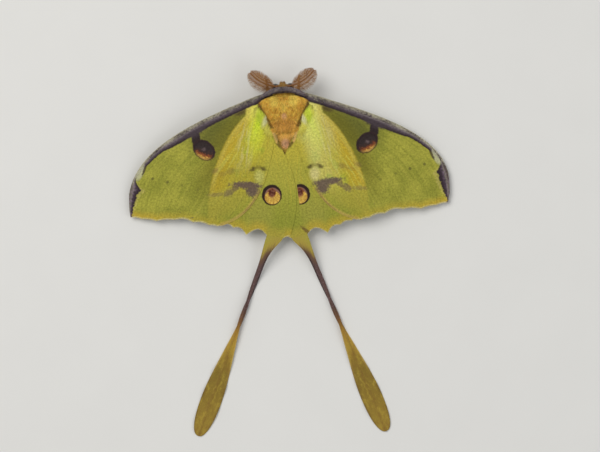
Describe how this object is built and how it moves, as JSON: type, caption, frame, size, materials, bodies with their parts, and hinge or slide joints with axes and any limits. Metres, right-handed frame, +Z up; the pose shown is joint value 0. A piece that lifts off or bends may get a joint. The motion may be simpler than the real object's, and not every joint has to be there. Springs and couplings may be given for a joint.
{
  "type": "african moon moth",
  "caption": "Life-size moon moth at rest with spread eye-spotted wings, feathered antennae, furry body and long twisted tails that trail on the floor.",
  "frame": {"origin": "on the floor, under the middle of the moth's bounding box", "axes": "+Y towards the head, +X to the moth's right, +Z up"},
  "size_m": [0.1132, 0.1292, 0.0129],
  "materials": {
    "fur": "dense orange-yellow fur",
    "collar": "short mauve-grey fur",
    "eye": "glossy compound eye",
    "limb": "brown hairy cuticle",
    "forewing": "yellow-green scaled membrane with a mauve leading edge",
    "hindwing": "pale green scaled membrane",
    "tail_stem": "pinkish brown scaled ribbon",
    "tail_spatula": "mustard yellow scaled ribbon"
  },
  "bodies": {
    "root": {"thorax": "fur", "abdomen": "fur", "head": "fur", "collar": "collar", "eye_left": "eye", "eye_right": "eye", "antenna_left": "limb", "antenna_right": "limb", "forewing_left": "forewing", "forewing_right": "forewing", "hindwing_left": "hindwing", "hindwing_right": "hindwing", "tail_stem_left": "tail_stem", "tail_stem_right": "tail_stem", "tail_spatula_left": "tail_spatula", "tail_spatula_right": "tail_spatula", "leg_fore_left": "limb", "leg_fore_right": "limb", "leg_mid_left": "limb", "leg_mid_right": "limb", "leg_hind_left": "limb", "leg_hind_right": "limb"}
  },
  "joints": []
}
